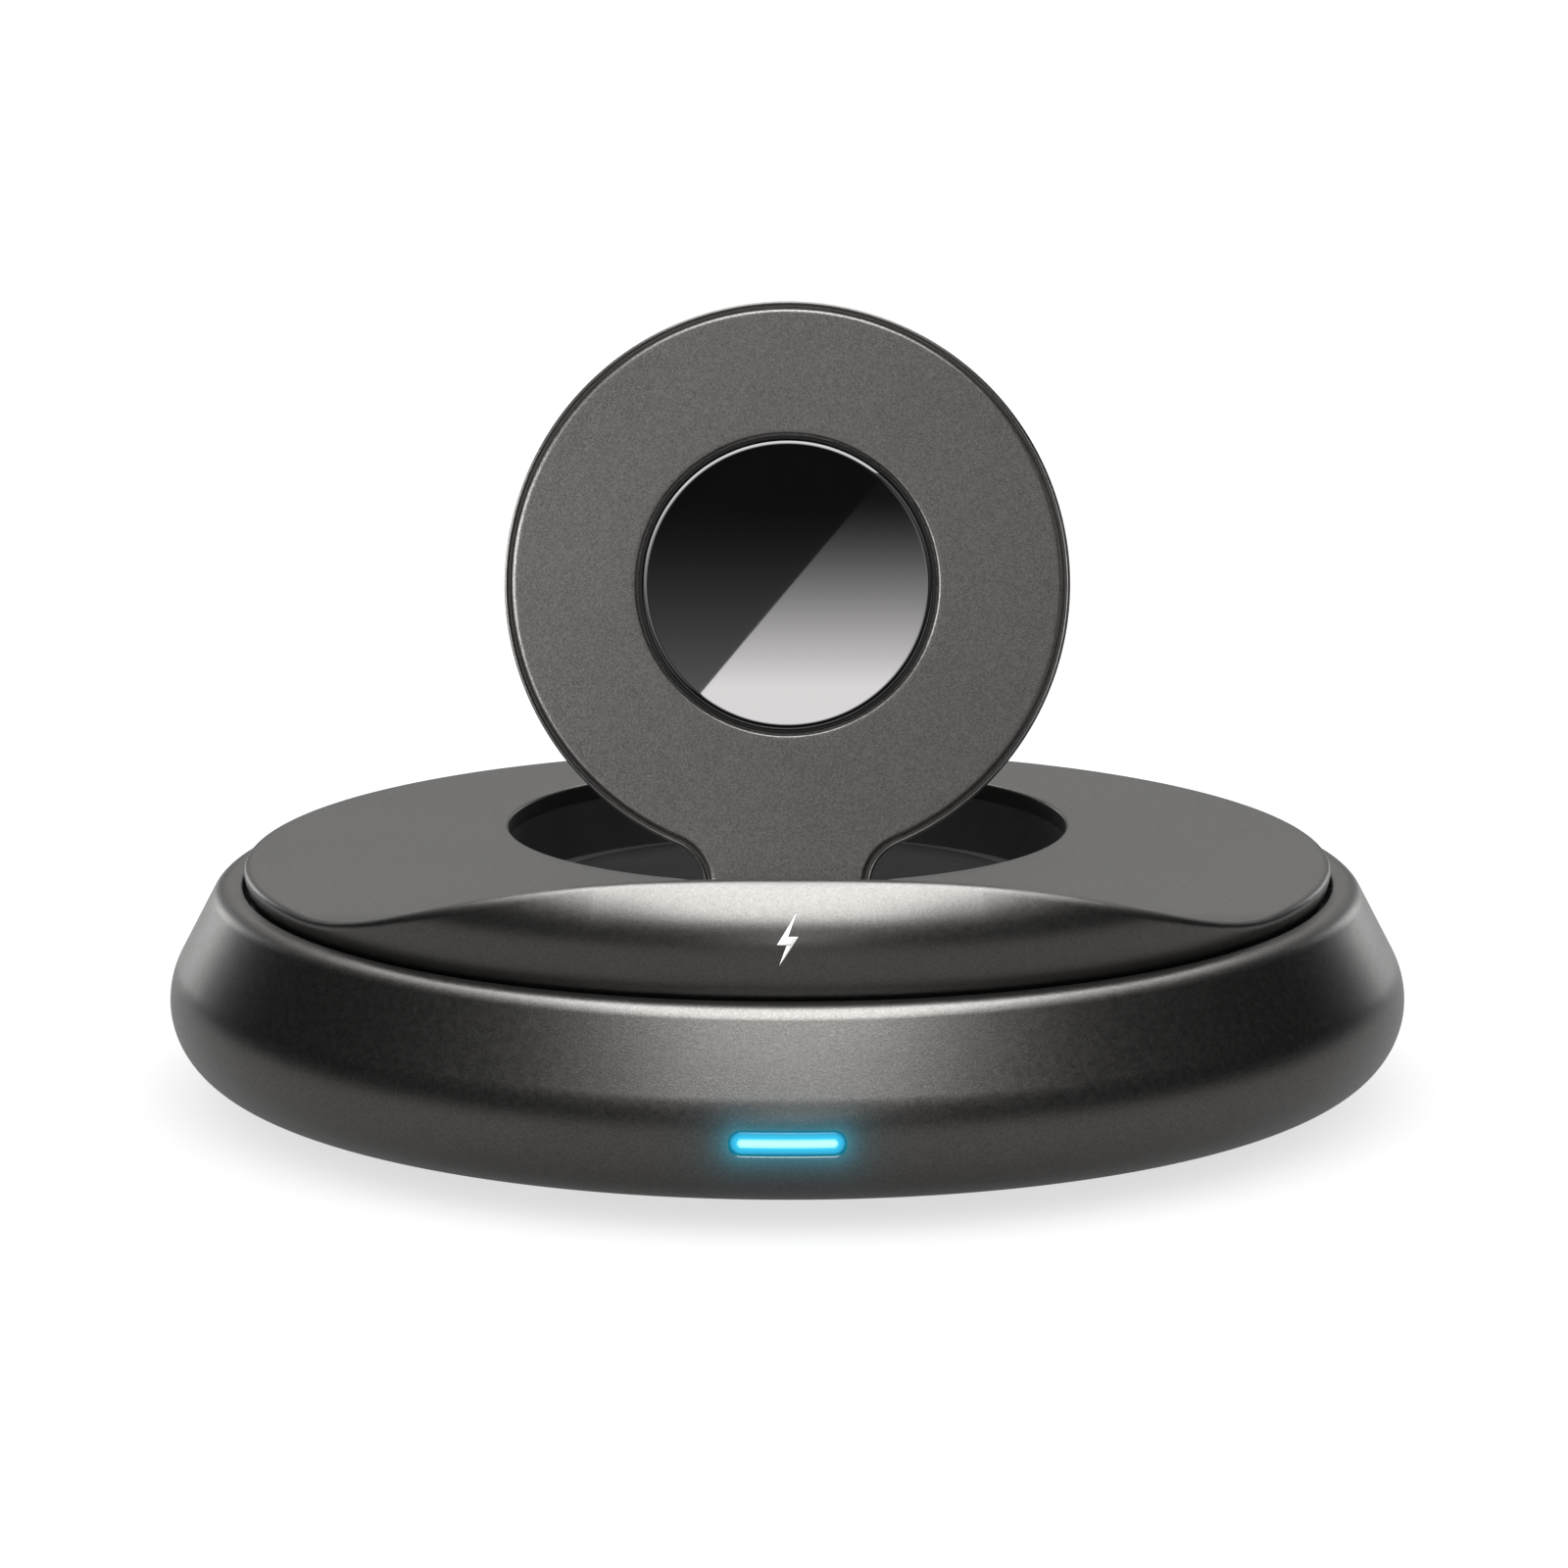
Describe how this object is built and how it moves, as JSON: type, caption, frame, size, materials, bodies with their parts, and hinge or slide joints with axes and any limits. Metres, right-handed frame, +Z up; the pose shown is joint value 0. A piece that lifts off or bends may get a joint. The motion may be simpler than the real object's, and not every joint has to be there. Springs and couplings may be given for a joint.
{
  "type": "wireless charging pad",
  "caption": "Round desktop wireless charging pad: flared weighted base, raised front lip and an upright magnetic charging disc that folds back into a round well.",
  "frame": {"origin": "centre of the base on the table surface", "axes": "+Z up, -Y to the front (raised lip and indicator light), +X to the object's right as seen from the front"},
  "size_m": [0.1338, 0.1335, 0.0879],
  "materials": {
    "skirt_paint": "satin",
    "cap_paint": "satin",
    "face_paint": "satin",
    "shell_plastic": "matte",
    "black_plastic": "matte",
    "carrier_plastic": "matte",
    "foot_rubber": "matte",
    "pad_rubber": "matte",
    "gasket_rubber": "matte",
    "thermal_grey": "matte",
    "lens_black": "gloss",
    "light_lens": "glowing",
    "led_glow": "glowing",
    "ballast_steel": "satin",
    "screw_steel": "satin",
    "bracket_steel": "satin",
    "pin_steel": "polished",
    "yoke_steel": "satin",
    "socket_metal": "satin",
    "magnet_nickel": "polished",
    "sleeve_bronze": "satin",
    "coil_copper": "satin",
    "capacitor_can": "satin",
    "board_resin": "satin",
    "chip_black": "matte",
    "ferrite_grey": "matte",
    "connector_ivory": "matte",
    "wire_red": "satin"
  },
  "bodies": {
    "base": {"skirt_shell": "skirt_paint", "bottom_cover": "black_plastic", "foot_ring": "foot_rubber", "ballast_plate": "ballast_steel", "cover_screws": "screw_steel", "main_board": "board_resin", "board_screws": "screw_steel", "controller_chips": "chip_black", "inductors": "ferrite_grey", "capacitors": "capacitor_can", "usb_c_shell": "socket_metal", "usb_c_tongue": "chip_black", "led_board": "board_resin", "indicator_leds": "led_glow", "light_pipe": "light_lens", "light_baffle": "black_plastic", "upper_cap": "cap_paint", "cap_screws": "screw_steel", "well_tray": "black_plastic", "well_pad": "pad_rubber", "hinge_bracket_left": "bracket_steel", "hinge_bracket_right": "bracket_steel", "friction_sleeve_left": "sleeve_bronze", "friction_sleeve_right": "sleeve_bronze", "hinge_screws": "screw_steel", "harness_connector": "connector_ivory", "base_harness": "wire_red"},
    "arm": {"arm_back_shell": "shell_plastic", "arm_face_plate": "face_paint", "centre_lens": "lens_black", "lens_gasket": "gasket_rubber", "magnet_carrier": "carrier_plastic", "yoke_plate": "yoke_steel", "magnet_segments": "magnet_nickel", "ferrite_disc": "ferrite_grey", "charging_coil": "coil_copper", "arm_board": "board_resin", "arm_chips": "chip_black", "thermal_pad": "thermal_grey", "hinge_pin_left": "pin_steel", "hinge_pin_right": "pin_steel", "arm_screws": "screw_steel", "arm_harness": "wire_red"}
  },
  "joints": [
    {"name": "arm_fold", "type": "hinge", "parent": "base", "child": "arm", "pos_m": [0, -0.0177, 0.0217], "axis": [1, 0, 0], "range_deg": [-81, 0]}
  ]
}
